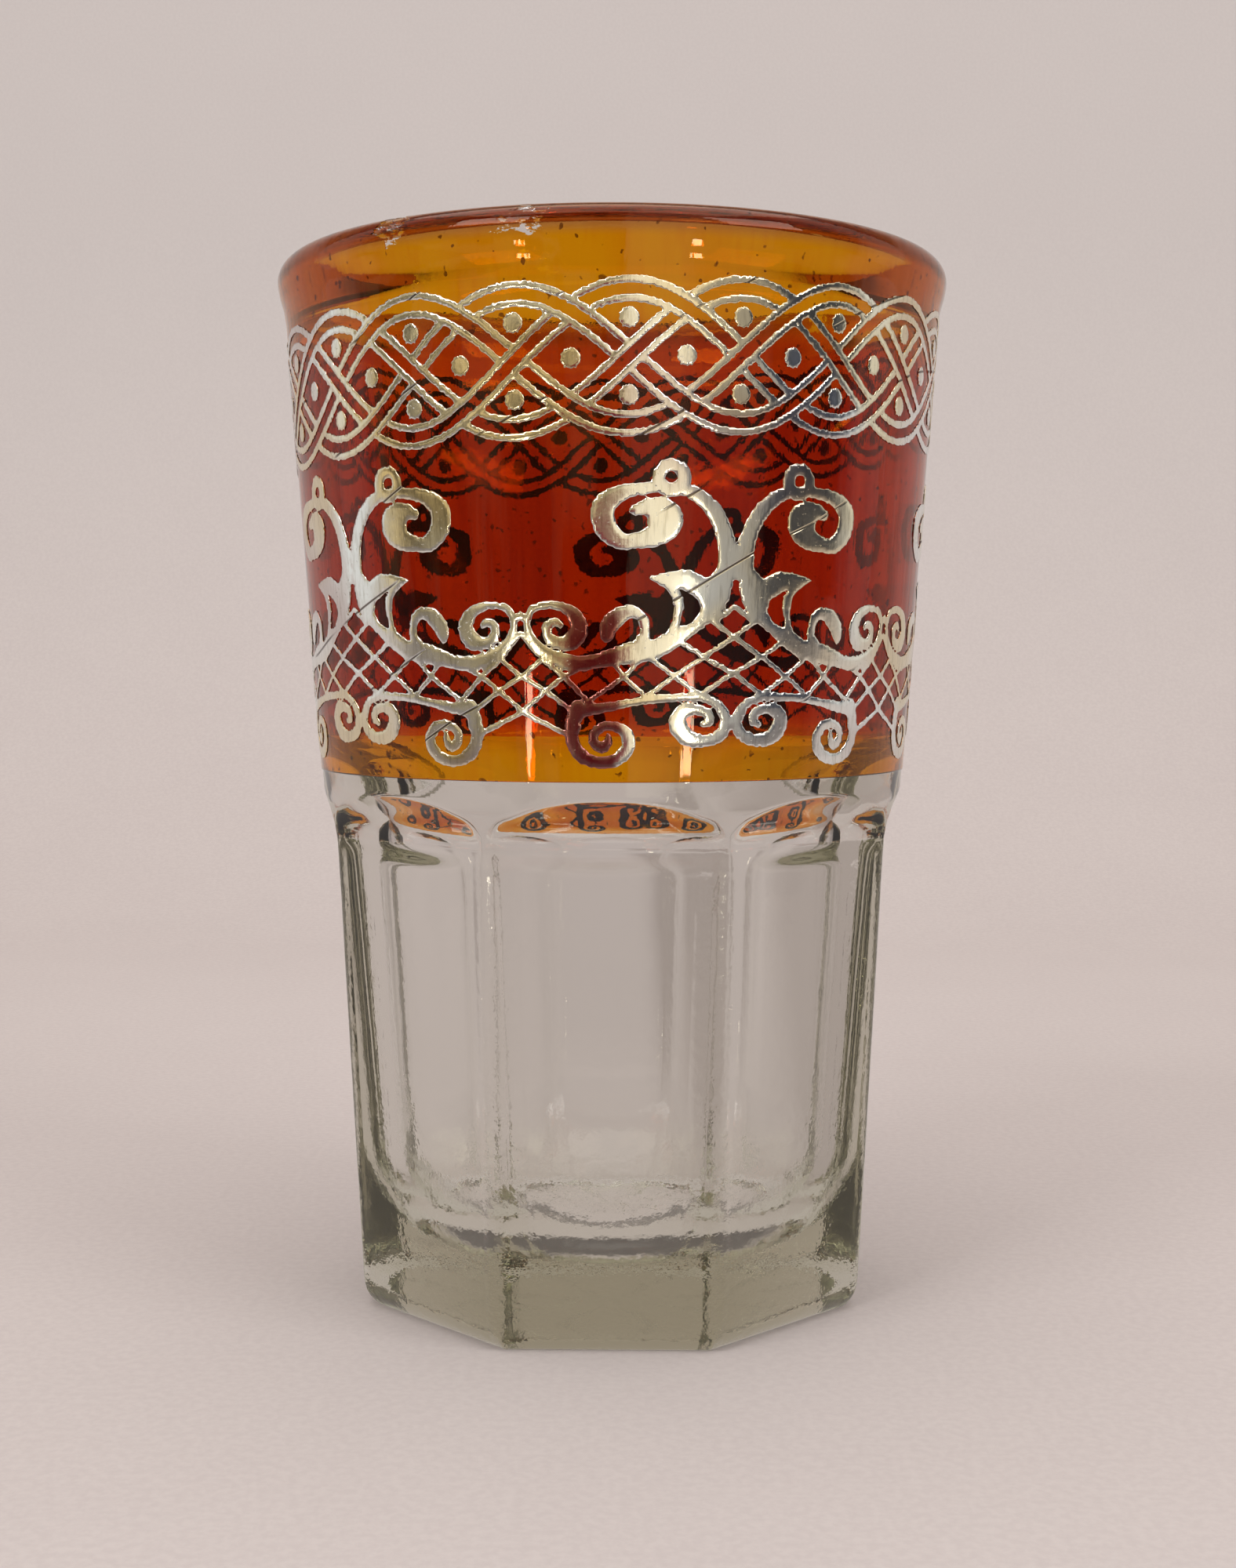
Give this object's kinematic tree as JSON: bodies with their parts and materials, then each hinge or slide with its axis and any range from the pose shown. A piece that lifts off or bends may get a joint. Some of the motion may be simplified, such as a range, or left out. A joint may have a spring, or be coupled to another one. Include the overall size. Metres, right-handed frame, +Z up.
{
  "type": "tea glass",
  "caption": "Moroccan tea glass with pressed facets below, an amber lacquered upper wall, a braided foil band under the lip and a lace of foil scrolls.",
  "frame": {"origin": "middle of the table plane under the base", "axes": "+Z up the axis of the glass, -Y the front, at the middle of one facet, +X to the right"},
  "size_m": [0.0826, 0.0826, 0.1276],
  "materials": {
    "tumbler": "clear pressed glass with a faint green cast, fire polished",
    "amber_lacquer": "clear amber lacquer fired on to the outside, glossy",
    "braid_foil": "thin silver foil print, glossy, a little crumpled and cream in tone",
    "braid_dots": "thin silver foil print, glossy, a little crumpled and cream in tone",
    "scroll_foil": "thin silver foil print, glossy, a little crumpled and cream in tone"
  },
  "bodies": {
    "root": {"tumbler": "tumbler", "amber_lacquer": "amber_lacquer", "braid_foil": "braid_foil", "braid_dots": "braid_dots", "scroll_foil": "scroll_foil"}
  },
  "joints": []
}
